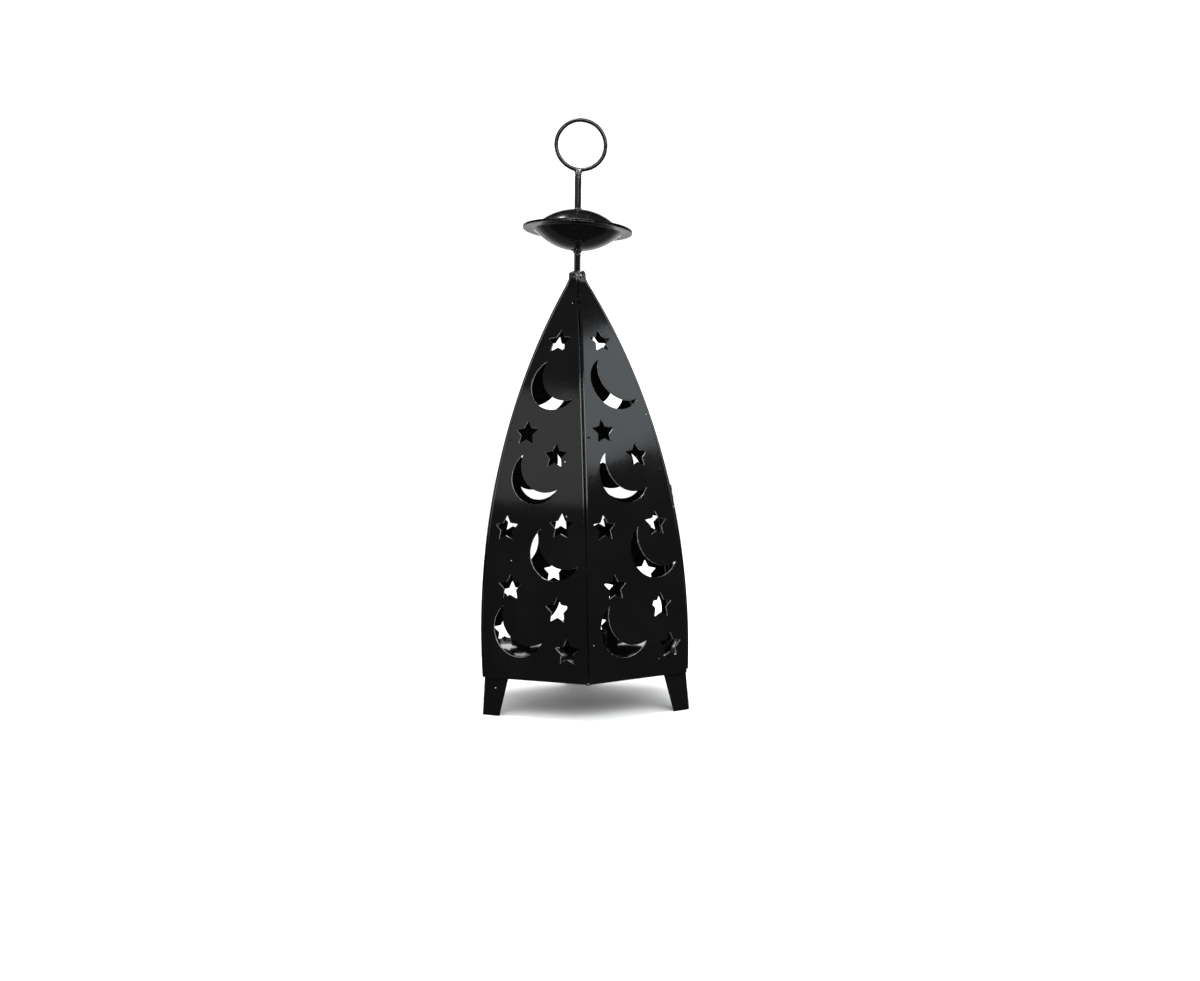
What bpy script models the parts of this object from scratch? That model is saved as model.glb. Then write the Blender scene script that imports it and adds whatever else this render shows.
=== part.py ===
"""Moroccan metal lantern: a six-sided ogival shell of stamped sheet steel on three feet.

Metres, +Z up.  The origin is on the lantern's centre line, on the surface that it stands on.
A corner of the shell points to -Y, and the door is in the panel that faces +X.
"""
import math

import bmesh
import bpy
from mathutils import Matrix, Vector

# ---- driving dimensions (metres unless the name says degrees) ----
SIDES = 6
FOOT_DROP = 0.024            # the shell's lower edge stands this high above the ground
SHEET = 0.0008               # thickness of the shell's sheet steel
GAP = 0.0003                 # running and assembly gap between pieces that touch

CORNER_R = 0.0765            # largest distance from the centre line to a shell corner
OGIVE_R = 0.425              # radius of the arc that a shell corner follows
BULGE_HEIGHT = 0.023         # height above the lower edge where the shell is widest
NECK_R = 0.0062              # corner radius where the panels are gathered round the stem
TAB_HEIGHT = 0.0052          # straight upright tabs at the top of the panels
ROWS = 9                     # flat facets up the curve of a panel

FLANGE_DEPTH = 0.0040        # seam flange folded inwards along a corner
FLANGE_START = 0.0160        # the flanges begin above the floor plate
FLANGE_END_R = 0.026         # and stop where the shell gets this narrow

STAR_R = 0.0082              # centre to tip of a stamped star
STAR_INNER = 0.47            # inner corners of a star, as a share of its tip radius
MOON_R = 0.0183              # outer arc of a stamped crescent
MOON_CUT_R = 0.0191          # arc that bites the crescent
MOON_CUT_OFFSET = (0.0069, 0.0082)
# (across, up the sheet from its lower edge) for each stamped hole's centre, and a crescent's turn in degrees
STARS = [(0.0236, 0.0191), (0.0170, 0.0448), (-0.0169, 0.0581), (-0.0214, 0.0953),
         (0.0179, 0.0968), (0.0098, 0.1415), (-0.0128, 0.1571), (0.0002, 0.2201)]
MOONS = [(-0.0104, 0.0325, 0.0), (0.0150, 0.0809, 0.0), (-0.0022, 0.1290, 0.0), (0.0036, 0.1905, -9.0)]

DOOR_BOTTOM = 0.0020         # door edges, measured up the sheet
DOOR_TOP = 0.1071
DOOR_GAP = 0.0006

HINGE_HEIGHTS = (0.034, 0.085)     # hinge centres above the shell's lower edge
HINGE_STANDOFF = 0.0026            # hinge axis outside the shell's corner
KNUCKLE_R = 0.0016
HINGE_PIN_R = 0.00065
HINGE_BORE_R = 0.0008
HINGE_LENGTH = 0.0130
LEAF_REACH = 0.0095
LEAF_THICK = 0.0007
BARREL_STEPS = 10

BUTTON_ACROSS = -0.0190            # rivet of the turn button, on the fixed sheet above the door
BUTTON_UP = 0.1128
BUTTON_REST = 135.0                # degrees; the button rests turned up and aside, off the door
BUTTON_REACH = 0.0095              # rivet to the centre of the button's round tip
BUTTON_EYE_R = 0.0026
BUTTON_TIP_R = 0.0019
BUTTON_THICK = 0.0008
RIVET_R = 0.0011
RIVET_HEAD_R = 0.0023
RIVET_HEAD = 0.0008                # height of the rivet's outer head

FLOOR_HEIGHT = 0.0127              # underside of the floor plate above the lower edge
FLOOR_THICK = 0.0008
LIP_DEPTH = 0.0070
LIP_HALF = 0.0195
CUP_R = 0.0160
CUP_HEIGHT = 0.0088

FOOT_THICK = 0.0012
FOOT_WIDTH_TOP = 0.0170
FOOT_WIDTH_END = 0.0118
FOOT_SPLAY = 0.0019
FOOT_TOP = 0.0121                  # the feet reach this far up inside the shell
FOOT_AZIMUTHS = {"foot_front_right": -30.0, "foot_front_left": 210.0, "foot_back": 90.0}

STEM_R = 0.00205
STEM_LEAN = 1.5                    # degrees, towards +X
STEM_FOOT = 0.2525                 # stem's lower end above the shell's lower edge
STEM_TOP = 0.3262
STEM_PIVOT = 0.2634                # the stem's centre line crosses the lantern's at this height
STEM_CLEARANCE = 0.0004            # between the stem and the welds and holes round it
DISH_R = 0.0365                    # smoke shield: two dishes set rim to rim
DISH_BOWL_R = 0.0285
DISH_DEPTH = 0.0132
DISH_HEIGHT = 0.2906
DISH_TILT = 4.2                    # degrees, right side down
RING_R = 0.0162                    # hanging ring, wire centre line
RING_WIRE_R = 0.00103
RING_CENTRE = (0.0039, 0.0, 0.3473)
RING_NECK_TOP = 0.3325
RING_NECK_WIDTH = 0.0038

HALF_ANGLE = math.pi / SIDES
PANEL_AZIMUTHS = {"panel_front_left": -120.0, "panel_front_right": -60.0, "panel_back_right": 60.0,
                  "panel_back_left": 120.0, "panel_left": 180.0}
DOOR_AZIMUTH = 0.0
HINGE_AZIMUTH = 30.0
ABOVE_FEET = Matrix.Translation((0.0, 0.0, FOOT_DROP))


# ---- scene and material helpers ----
def clear_scene():
    for obj in list(bpy.data.objects):
        bpy.data.objects.remove(obj, do_unlink=True)


def painted_steel(name, level=0.012, roughness=0.3):
    material = bpy.data.materials.new(name)
    material.use_nodes = True
    shader = material.node_tree.nodes["Principled BSDF"]
    shader.inputs["Base Color"].default_value = (level, level, level * 1.05, 1.0)
    shader.inputs["Roughness"].default_value = roughness
    shader.inputs["Metallic"].default_value = 0.0
    return material


def add_object(name, bm, smooth=None, **finish):
    """Turn a bmesh into a named object with its own material."""
    bmesh.ops.recalc_face_normals(bm, faces=bm.faces)
    mesh = bpy.data.meshes.new(name)
    bm.to_mesh(mesh)
    bm.free()
    obj = bpy.data.objects.new(name, mesh)
    bpy.context.scene.collection.objects.link(obj)
    mesh.materials.append(painted_steel(name + "_paint", **finish))
    if smooth:
        mesh.shade_smooth()
        mesh.set_sharp_from_angle(angle=math.radians(smooth))
    return obj


def combine(target, tools, operation):
    """Join tools to the target or cut them from it, and keep only the result."""
    for tool in tools:
        modifier = target.modifiers.new(tool.name, "BOOLEAN")
        modifier.operation = operation
        modifier.object = tool
    graph = bpy.context.evaluated_depsgraph_get()
    result = bpy.data.meshes.new_from_object(target.evaluated_get(graph))
    target.modifiers.clear()
    target.data = result
    for tool in tools:
        bpy.data.objects.remove(tool, do_unlink=True)
    return target


# ---- shell geometry ----
def corner_radius(height):
    """Distance from the centre line to a shell corner, at a height above the lower edge."""
    rise = height - BULGE_HEIGHT
    return max(NECK_R, CORNER_R - OGIVE_R + math.sqrt(OGIVE_R ** 2 - rise ** 2))


def neck_height():
    return BULGE_HEIGHT + math.sqrt(OGIVE_R ** 2 - (OGIVE_R - CORNER_R + NECK_R) ** 2)


def shell_rows():
    """Rows up a panel: (length along the sheet, height, corner radius)."""
    low = math.asin(-BULGE_HEIGHT / OGIVE_R)
    high = math.asin((neck_height() - BULGE_HEIGHT) / OGIVE_R)
    heights = [BULGE_HEIGHT + OGIVE_R * math.sin(low + (high - low) * row / ROWS)
               for row in range(ROWS + 1)]
    heights.append(neck_height() + TAB_HEIGHT)
    rows = [(0.0, heights[0], corner_radius(heights[0]))]
    for height in heights[1:]:
        length, last_height, last_radius = rows[-1]
        radius = corner_radius(height)
        step = math.hypot(height - last_height, (radius - last_radius) * math.cos(HALF_ANGLE))
        rows.append((length + step, height, radius))
    return rows


SHELL_ROWS = shell_rows()


def on_rows(rows, length):
    """The two values of the rows, read at a length up the sheet."""
    for low, high in zip(rows, rows[1:]):
        if length <= high[0] or high is rows[-1]:
            share = (length - low[0]) / (high[0] - low[0])
            return (low[1] + share * (high[1] - low[1]), low[2] + share * (high[2] - low[2]))


def inner_rows():
    """The rows of the sheet's inner face: (length up the outer face, height, apothem)."""
    outer = [Vector((radius * math.cos(HALF_ANGLE), height)) for _, height, radius in SHELL_ROWS]
    steps = [(high - low).normalized() for low, high in zip(outer, outer[1:])]
    rows = []
    for index, point in enumerate(outer):
        before = steps[max(index - 1, 0)]
        after = steps[min(index, len(steps) - 1)]
        inward = Vector((-before.y - after.y, before.x + after.x)).normalized()
        mitre = SHEET / math.sqrt((1.0 + before.dot(after)) / 2)
        place = point + inward * mitre
        rows.append((SHELL_ROWS[index][0], place.y, place.x))
    return rows


INNER_ROWS = inner_rows()


def panel_point(across, length):
    """A point of the outer face of the panel that faces +X."""
    height, radius = on_rows(SHELL_ROWS, length)
    return Vector((radius * math.cos(HALF_ANGLE), across, height))


def inner_point(across, length, fold):
    """The matching point of the inner face; fold is 0, or +-1 on a fold, or +-2 on a flange's rim."""
    height, apothem = on_rows(INNER_ROWS, length)
    if abs(fold) < 1.5:
        return Vector((apothem, across - fold * SHEET / math.tan(HALF_ANGLE), height))
    side = fold / 2
    thickness = Vector((math.sin(HALF_ANGLE), -side * math.cos(HALF_ANGLE), 0.0)) * SHEET
    return flange_rim(across, length, side) + thickness


def flange_rim(across, length, side):
    inward = Vector((-math.cos(HALF_ANGLE), -side * math.sin(HALF_ANGLE), 0.0))
    return panel_point(across, length) + inward * FLANGE_DEPTH


def half_width(length):
    """Half the panel's width, less the gap that its square-cut edges need at a corner."""
    return on_rows(SHELL_ROWS, length)[1] * math.sin(HALF_ANGLE) - SHEET * math.tan(HALF_ANGLE) - GAP * 0.7


def star_outline(centre):
    points = []
    for step in range(10):
        radius = STAR_R * (STAR_INNER if step % 2 else 1.0)
        angle = math.pi / 2 + step * math.pi / 5
        points.append((centre[0] + radius * math.cos(angle), centre[1] + radius * math.sin(angle)))
    return points


def moon_outline(centre, outer_steps=10, inner_steps=7):
    """A crescent: an outer arc from tip to tip, and back along the arc that bites it."""
    cut = Matrix.Rotation(math.radians(centre[2]), 2) @ Vector(MOON_CUT_OFFSET)
    span = cut.length
    reach = (span ** 2 + MOON_R ** 2 - MOON_CUT_R ** 2) / (2 * span)
    tip_angle = math.acos(reach / MOON_R)
    heading = math.atan2(cut.y, cut.x)
    outer_start = heading + tip_angle
    outer_end = heading + 2 * math.pi - tip_angle
    points = []
    for step in range(outer_steps + 1):
        angle = outer_start + (outer_end - outer_start) * step / outer_steps
        points.append(Vector((MOON_R * math.cos(angle), MOON_R * math.sin(angle))))
    from_cut = points[-1] - cut
    to_cut = points[0] - cut
    inner_start = math.atan2(from_cut.y, from_cut.x) % (2 * math.pi)
    inner_end = math.atan2(to_cut.y, to_cut.x) % (2 * math.pi)
    for step in range(1, inner_steps):
        angle = inner_start + (inner_end - inner_start) * step / inner_steps
        points.append(cut + MOON_CUT_R * Vector((math.cos(angle), math.sin(angle))))
    return [(centre[0] + point.x, centre[1] + point.y) for point in points]


def round_outline(centre, radius, sides=10):
    return [(centre[0] + radius * math.cos(2 * math.pi * step / sides),
             centre[1] + radius * math.sin(2 * math.pi * step / sides)) for step in range(sides)]


def close_skin(bm, inner_place):
    """Give an open skin its second face and its edges, to make one closed body."""
    faces = bm.faces[:]
    rim = [edge for edge in bm.edges if edge.is_boundary]
    inner = {vert: bm.verts.new(inner_place(vert)) for vert in bm.verts[:]}
    for face in faces:
        bm.faces.new([inner[vert] for vert in reversed(face.verts)])
    for edge in rim:
        start, end = edge.verts
        bm.faces.new((start, end, inner[end], inner[start]))


def fill_loops(bm, loops, height=0.0):
    """Fill a flat outline, leaving its holes open."""
    for loop in loops:
        verts = [bm.verts.new((point[0], point[1], height)) for point in loop]
        for index in range(len(verts)):
            bm.edges.new((verts[index - 1], verts[index]))
    bmesh.ops.triangle_fill(bm, use_beauty=True, edges=bm.edges[:], normal=(0.0, 0.0, 1.0))
    bmesh.ops.recalc_face_normals(bm, faces=bm.faces)


def add_flanges(bm, layer, bottom, top):
    """Add the strip that folds inwards at each side, between two lengths up the sheet."""
    for side in (-1.0, 1.0):
        fold_line = [vert for vert in bm.verts
                     if abs(vert.co.x - side * half_width(vert.co.y)) < 1e-6
                     and bottom - 1e-6 <= vert.co.y <= top + 1e-6]
        fold_line.sort(key=lambda vert: vert.co.y)
        rim = []
        for vert in fold_line:
            vert[layer] = side
            copy = bm.verts.new(vert.co)
            copy[layer] = 2 * side
            rim.append(copy)
        for index in range(len(fold_line) - 1):
            corners = (fold_line[index], fold_line[index + 1], rim[index + 1], rim[index])
            bm.faces.new(corners)


def stamped_sheet(name, azimuth, bottom, top, holes, flanged):
    """A panel: a flat outline with holes, bent to the ogive and given its thickness."""
    bends = [row[0] for row in SHELL_ROWS if bottom + 0.002 < row[0] < top - 0.002]
    levels = [bottom] + bends + [top]
    if flanged and bottom < FLANGE_START:
        levels = sorted(levels + [FLANGE_START])
    outline = [(half_width(level), level) for level in levels]
    outline += [(-half_width(level), level) for level in reversed(levels)]
    bm = bmesh.new()
    fold = bm.verts.layers.float.new("fold")
    sheet = bm.verts.layers.float_vector.new("sheet")
    fill_loops(bm, [outline] + holes)
    for level in bends:
        geometry = bm.verts[:] + bm.edges[:] + bm.faces[:]
        bmesh.ops.bisect_plane(bm, geom=geometry, dist=1e-5, plane_co=(0.0, level, 0.0),
                               plane_no=(0.0, 1.0, 0.0))
    if flanged:
        flange_top = max(row[0] for row in SHELL_ROWS if row[2] > FLANGE_END_R)
        add_flanges(bm, fold, max(bottom, FLANGE_START), flange_top)
    for vert in bm.verts:
        across, length, _ = vert.co
        vert[sheet] = (across, length, 0.0)
        if abs(vert[fold]) > 1.5:
            vert.co = flange_rim(across, length, vert[fold] / 2)
        else:
            vert.co = panel_point(across, length)
    bmesh.ops.recalc_face_normals(bm, faces=bm.faces)
    bmesh.ops.dissolve_limit(bm, angle_limit=math.radians(0.3), use_dissolve_boundaries=False,
                             verts=bm.verts[:], edges=bm.edges[:])
    bmesh.ops.triangulate(bm, faces=bm.faces)
    close_skin(bm, lambda vert: inner_point(vert[sheet][0], vert[sheet][1], vert[fold]))
    panel = add_object(name, bm, roughness=0.35)
    panel.matrix_world = ABOVE_FEET @ Matrix.Rotation(math.radians(azimuth), 4, "Z")
    return panel


def holes_between(bottom, top):
    stars = [star_outline(centre) for centre in STARS if bottom < centre[1] < top]
    moons = [moon_outline(centre) for centre in MOONS if bottom < centre[1] < top]
    return stars + moons


def make_shell():
    whole = SHELL_ROWS[-1][0]
    for name, azimuth in PANEL_AZIMUTHS.items():
        stamped_sheet(name, azimuth, 0.0, whole, holes_between(0.0, whole), flanged=True)
    rivet_hole = round_outline((BUTTON_ACROSS, BUTTON_UP), RIVET_R + GAP)
    upper = holes_between(DOOR_TOP, whole) + [rivet_hole]
    stamped_sheet("panel_right_upper", DOOR_AZIMUTH, DOOR_TOP + DOOR_GAP, whole, upper, flanged=True)


def hinge_line():
    """A point on the door's hinge axis, and the axis' direction, upwards."""
    outward = Matrix.Rotation(math.radians(HINGE_AZIMUTH), 3, "Z") @ Vector((1.0, 0.0, 0.0))
    ends = [outward * (corner_radius(height) + HINGE_STANDOFF) + Vector((0.0, 0.0, height + FOOT_DROP))
            for height in HINGE_HEIGHTS]
    return ends[0], (ends[1] - ends[0]).normalized(), (ends[1] - ends[0]).length


def make_door():
    door = stamped_sheet("door", DOOR_AZIMUTH, DOOR_BOTTOM, DOOR_TOP,
                         holes_between(DOOR_BOTTOM, DOOR_TOP), flanged=False)
    start, axis, _ = hinge_line()
    pivot = bpy.data.objects.new("door_hinge_axis", None)
    bpy.context.scene.collection.objects.link(pivot)
    pivot.rotation_mode = "QUATERNION"
    pivot.rotation_quaternion = Vector((0.0, 0.0, 1.0)).rotation_difference(axis)
    pivot.location = start
    bpy.context.view_layer.update()
    world = door.matrix_world.copy()
    door.parent = pivot
    door.matrix_world = world
    return pivot


# ---- turned, boxed and flat pieces ----
def turned(bm, profile, sides, closed):
    """Spin a profile of (radius, height) about Z; points with no radius become poles."""
    rings = []
    for radius, height in profile:
        count = sides if radius else 1
        rings.append([bm.verts.new((radius * math.cos(2 * math.pi * step / sides),
                                    radius * math.sin(2 * math.pi * step / sides), height))
                      for step in range(count)])
    pairs = list(zip(rings, rings[1:]))
    if closed:
        pairs.append((rings[-1], rings[0]))
    for low, high in pairs:
        for step in range(sides):
            following = (step + 1) % sides
            corners = [low[step % len(low)], low[following % len(low)],
                       high[following % len(high)], high[step % len(high)]]
            unique = list(dict.fromkeys(corners))
            if len(unique) > 2:
                bm.faces.new(unique)


def lathe(name, profile, sides=24, closed=True, frame=None, **finish):
    """A turned piece; closed joins the profile's last point to its first."""
    bm = bmesh.new()
    turned(bm, profile, sides, closed)
    obj = add_object(name, bm, smooth=35, **finish)
    if frame:
        obj.matrix_world = frame
    return obj


def rod(name, radius, low, high, sides=16, frame=None):
    return lathe(name, [(0.0, low), (radius, low), (radius, high), (0.0, high)], sides,
                 closed=False, frame=frame)


def block(name, low, high):
    bm = bmesh.new()
    bmesh.ops.create_cube(bm, size=1.0)
    low = Vector(low)
    size = Vector(high) - low
    for vert in bm.verts:
        vert.co = Vector([low[axis] + (vert.co[axis] + 0.5) * size[axis] for axis in range(3)])
    return add_object(name, bm)


def flat_plate(name, loops, low, high):
    """A flat plate between two heights: the first loop is its outline, the others are holes."""
    bm = bmesh.new()
    fill_loops(bm, loops, low)
    close_skin(bm, lambda vert: vert.co + Vector((0.0, 0.0, high - low)))
    return add_object(name, bm)


def arc_points(centre, radius, start, end, steps):
    return [(centre[0] + radius * math.cos(math.radians(start + (end - start) * step / steps)),
             centre[1] + radius * math.sin(math.radians(start + (end - start) * step / steps)))
            for step in range(steps + 1)]


# ---- door hinges and turn button ----
def ladder(bm, rows, loop, segments):
    """Walls along a closed loop of points, through the given segments between rows."""
    for segment in segments:
        low, high = rows[segment], rows[segment + 1]
        for index, point in enumerate(loop):
            last = loop[index - 1]
            bm.faces.new((low[last], low[point], high[point], high[last]))


def make_leaf(name, side, stops, knuckles, frame):
    """A hinge leaf: a plate with a rolled barrel in some of the segments between its stops.

    Side is -1 for the door's leaf and +1 for the fixed one.  It is built in plate axes: X along
    the panel's face from the corner, Y out of the face and Z up the hinge axis.  In the hinge's
    own axes X points out of the corner.
    """
    bottom = HINGE_STANDOFF * math.cos(HALF_ANGLE) - KNUCKLE_R
    top = bottom + LEAF_THICK
    axis_x = -HINGE_STANDOFF * math.sin(HALF_ANGLE)
    clear = axis_x + KNUCKLE_R + GAP
    axis = (axis_x, bottom + KNUCKLE_R)
    start = math.degrees(math.asin((LEAF_THICK - KNUCKLE_R) / KNUCKLE_R))
    roll = arc_points(axis, KNUCKLE_R, start, 270, BARREL_STEPS)
    bore = arc_points(axis, HINGE_BORE_R, start, 270, BARREL_STEPS)
    outline = [(clear, top), (LEAF_REACH, top), (LEAF_REACH, bottom), (clear, bottom)]
    plate = [0, 1, 2, 3]
    rolled = [4 + step for step in range(BARREL_STEPS + 1)]
    bored = [rolled[-1] + 1 + step for step in range(BARREL_STEPS + 1)]
    bm = bmesh.new()
    rows = [[bm.verts.new((point[0], point[1], stop)) for point in outline + roll + bore] for stop in stops]
    plain = [segment for segment in range(len(stops) - 1) if segment not in knuckles]
    ladder(bm, rows, plate, plain)
    ladder(bm, rows, [1, 2, 3] + rolled[::-1] + [0], knuckles)
    ladder(bm, rows, bored, knuckles)
    for row in (rows[0], rows[-1]):
        bm.faces.new([row[point] for point in plate])
    for stop, row in enumerate(rows):
        if (stop in knuckles) != (stop - 1 in knuckles):
            for step in range(BARREL_STEPS):
                bm.faces.new((row[rolled[step]], row[rolled[step + 1]], row[bored[step + 1]], row[bored[step]]))
            neck = (bored[-1], rolled[-1], 3, 0, rolled[0], bored[0])
            bm.faces.new([row[point] for point in neck])
    bmesh.ops.delete(bm, geom=[vert for vert in bm.verts if not vert.link_faces], context="VERTS")
    leaf = add_object(name, bm, smooth=35)
    to_hinge = Matrix(((-math.sin(HALF_ANGLE), math.cos(HALF_ANGLE), 0.0, -HINGE_STANDOFF),
                       (side * math.cos(HALF_ANGLE), side * math.sin(HALF_ANGLE), 0.0, 0.0),
                       (0.0, 0.0, 1.0, 0.0), (0.0, 0.0, 0.0, 1.0)))
    leaf.data.transform(to_hinge)
    if to_hinge.determinant() < 0.0:
        leaf.data.flip_normals()
    leaf.matrix_world = frame
    return leaf


def make_hinges(pivot):
    """Two butt hinges: the fixed leaf has the outer knuckles, the door's leaf the middle one."""
    start, axis, spacing = hinge_line()
    middle = HINGE_LENGTH / 6
    half = HINGE_LENGTH / 2
    turn = Matrix.Rotation(math.radians(HINGE_AZIMUTH), 4, "Z")
    lean = Matrix.Rotation(-math.acos(axis.z), 4, "Y")
    for name, distance in (("lower_hinge", 0.0), ("upper_hinge", spacing)):
        frame = Matrix.Translation(start + axis * distance) @ turn @ lean
        make_leaf(name + "_fixed_leaf", 1.0, [-half, -middle, middle, half], (0, 2), frame)
        stops = [-half, GAP - middle, middle - GAP, half]
        door_leaf = make_leaf(name + "_door_leaf", -1.0, stops, (1,), frame)
        door_leaf.parent = pivot
        door_leaf.matrix_world = frame
        head = half + GAP
        lathe(name + "_pin", [(0.0, -half), (HINGE_PIN_R, -half), (HINGE_PIN_R, head),
                              (KNUCKLE_R * 0.8, head), (KNUCKLE_R * 0.6, head + 2 * GAP),
                              (0.0, head + 2.5 * GAP)], 16, closed=False, frame=frame)


def button_frame():
    """Axes of the turn button's rivet: X across the sheet, Y up the sheet, Z out of it."""
    place = panel_point(BUTTON_ACROSS, BUTTON_UP)
    up = (panel_point(0.0, BUTTON_UP + GAP) - panel_point(0.0, BUTTON_UP)).normalized()
    across = Vector((0.0, 1.0, 0.0))
    out = across.cross(up)
    axes = Matrix((across, up, out)).transposed().to_4x4()
    return ABOVE_FEET @ Matrix.Translation(place) @ axes


def make_turn_button():
    """A small plate on a rivet.  It rests turned aside, and turns down over the door."""
    frame = button_frame()
    outline = arc_points((0.0, 0.0), BUTTON_EYE_R, 90, 270, 8)
    outline += arc_points((BUTTON_REACH, 0.0), BUTTON_TIP_R, -90, 90, 6)
    eye = round_outline((0.0, 0.0), RIVET_R + GAP / 2, 12)
    low = GAP + 0.0001
    button = flat_plate("turn_button", [outline, eye], low, low + BUTTON_THICK)
    button.matrix_world = frame @ Matrix.Rotation(math.radians(BUTTON_REST), 4, "Z")
    head_low = low + BUTTON_THICK + GAP * 0.7
    profile = [(0.0, -SHEET - 0.0011), (RIVET_HEAD_R * 0.7, -SHEET - 0.0011),
               (RIVET_HEAD_R, -SHEET - GAP), (RIVET_R, -SHEET - GAP), (RIVET_R, head_low),
               (RIVET_HEAD_R, head_low), (RIVET_HEAD_R * 0.75, head_low + RIVET_HEAD * 0.7),
               (0.0, head_low + RIVET_HEAD)]
    lathe("turn_button_rivet", profile, 16, closed=False, frame=frame)


# ---- floor, candle cup and feet ----
def make_floor():
    """A six-sided plate inside the shell, with a short lip folded down along each side."""
    apothem = corner_radius(FLOOR_HEIGHT) * math.cos(HALF_ANGLE) - SHEET - 0.0004
    corner = apothem / math.cos(HALF_ANGLE)
    low = FOOT_DROP + FLOOR_HEIGHT
    outline = [(corner * math.cos(math.radians(angle)), corner * math.sin(math.radians(angle)))
               for angle in range(30, 390, 60)]
    plate = flat_plate("floor_plate", [outline], low, low + FLOOR_THICK)
    lips = []
    for index in range(SIDES):
        lip = block(f"lip_{index}", (apothem - FLOOR_THICK, -LIP_HALF, low - LIP_DEPTH),
                    (apothem, LIP_HALF, low + FLOOR_THICK / 2))
        lip.matrix_world = Matrix.Rotation(index * 2 * HALF_ANGLE, 4, "Z")
        lips.append(lip)
    bpy.context.view_layer.update()
    combine(plate, lips, "UNION")


def make_candle_cup():
    base = FOOT_DROP + FLOOR_HEIGHT + FLOOR_THICK + GAP
    wall = SHEET
    profile = [(0.0, base), (CUP_R - 0.0012, base), (CUP_R - 0.0003, base + 0.0004),
               (CUP_R, base + 0.0013), (CUP_R, base + CUP_HEIGHT), (CUP_R - wall, base + CUP_HEIGHT),
               (CUP_R - wall, base + 0.0016), (CUP_R - 0.0016, base + wall), (0.0, base + wall)]
    lathe("candle_cup", profile, 28, closed=False)


def make_foot(name, azimuth):
    """An angle piece: two tapering strips folded along a corner, inside the shell."""
    inset = (SHEET + GAP) / math.cos(HALF_ANGLE)
    levels = [(FOOT_TOP, FOOT_WIDTH_TOP, 0.0), (0.0, FOOT_WIDTH_TOP, 0.0),
              (-FOOT_DROP, FOOT_WIDTH_END, FOOT_SPLAY)]
    bm = bmesh.new()
    rings = []
    for height, width, splay in levels:
        corner = Vector((corner_radius(max(height, 0.0)) - inset + splay, 0.0, height + FOOT_DROP))
        if height > 0.0:
            corner.x = corner_radius(0.0) - inset
        outer = []
        inner = []
        for side in (-1.0, 0.0, 1.0):
            along = Vector((-math.sin(HALF_ANGLE), side * math.cos(HALF_ANGLE), 0.0)) * width
            inward = Vector((-math.cos(HALF_ANGLE), -side * math.sin(HALF_ANGLE), 0.0)) * FOOT_THICK
            if side == 0.0:
                along = Vector((0.0, 0.0, 0.0))
                inward = Vector((-FOOT_THICK / math.cos(HALF_ANGLE), 0.0, 0.0))
            outer.append(bm.verts.new(corner + along))
            inner.append(bm.verts.new(corner + along + inward))
        rings.append(outer + inner[::-1])
    for high, low in zip(rings, rings[1:]):
        for index in range(6):
            following = (index + 1) % 6
            bm.faces.new((high[index], high[following], low[following], low[index]))
    for ring in (rings[0], rings[-1]):
        bm.faces.new((ring[0], ring[1], ring[4], ring[5]))
        bm.faces.new((ring[1], ring[2], ring[3], ring[4]))
    foot = add_object(name, bm)
    foot.matrix_world = Matrix.Rotation(math.radians(azimuth), 4, "Z")


# ---- stem, smoke shield and hanging ring ----
def stem_frame():
    """Axes whose Z runs up the stem, with heights still counted from the ground."""
    pivot = Vector((0.0, 0.0, FOOT_DROP + STEM_PIVOT))
    lean = Matrix.Rotation(math.radians(STEM_LEAN), 4, "Y")
    return Matrix.Translation(pivot) @ lean @ Matrix.Translation(-pivot)


def dish_profile(sign):
    """Half section of a dish: flat brim, then a cap; sign is +1 for the upper one."""
    cap_r = (DISH_BOWL_R ** 2 + DISH_DEPTH ** 2) / (2 * DISH_DEPTH)
    centre = GAP / 2 + DISH_DEPTH - cap_r
    inner_start = math.asin(DISH_BOWL_R / cap_r)
    outer_r = cap_r + SHEET
    outer_start = math.acos((GAP / 2 + SHEET - centre) / outer_r)
    steps = 5
    inner = [(cap_r * math.sin(inner_start * step / steps),
              centre + cap_r * math.cos(inner_start * step / steps)) for step in range(steps + 1)]
    outer = [(outer_r * math.sin(outer_start * step / steps),
              centre + outer_r * math.cos(outer_start * step / steps)) for step in range(steps + 1)]
    profile = inner + [(DISH_R, GAP / 2), (DISH_R, GAP / 2 + SHEET)] + outer[::-1]
    return [(radius, sign * height) for radius, height in profile]


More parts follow.
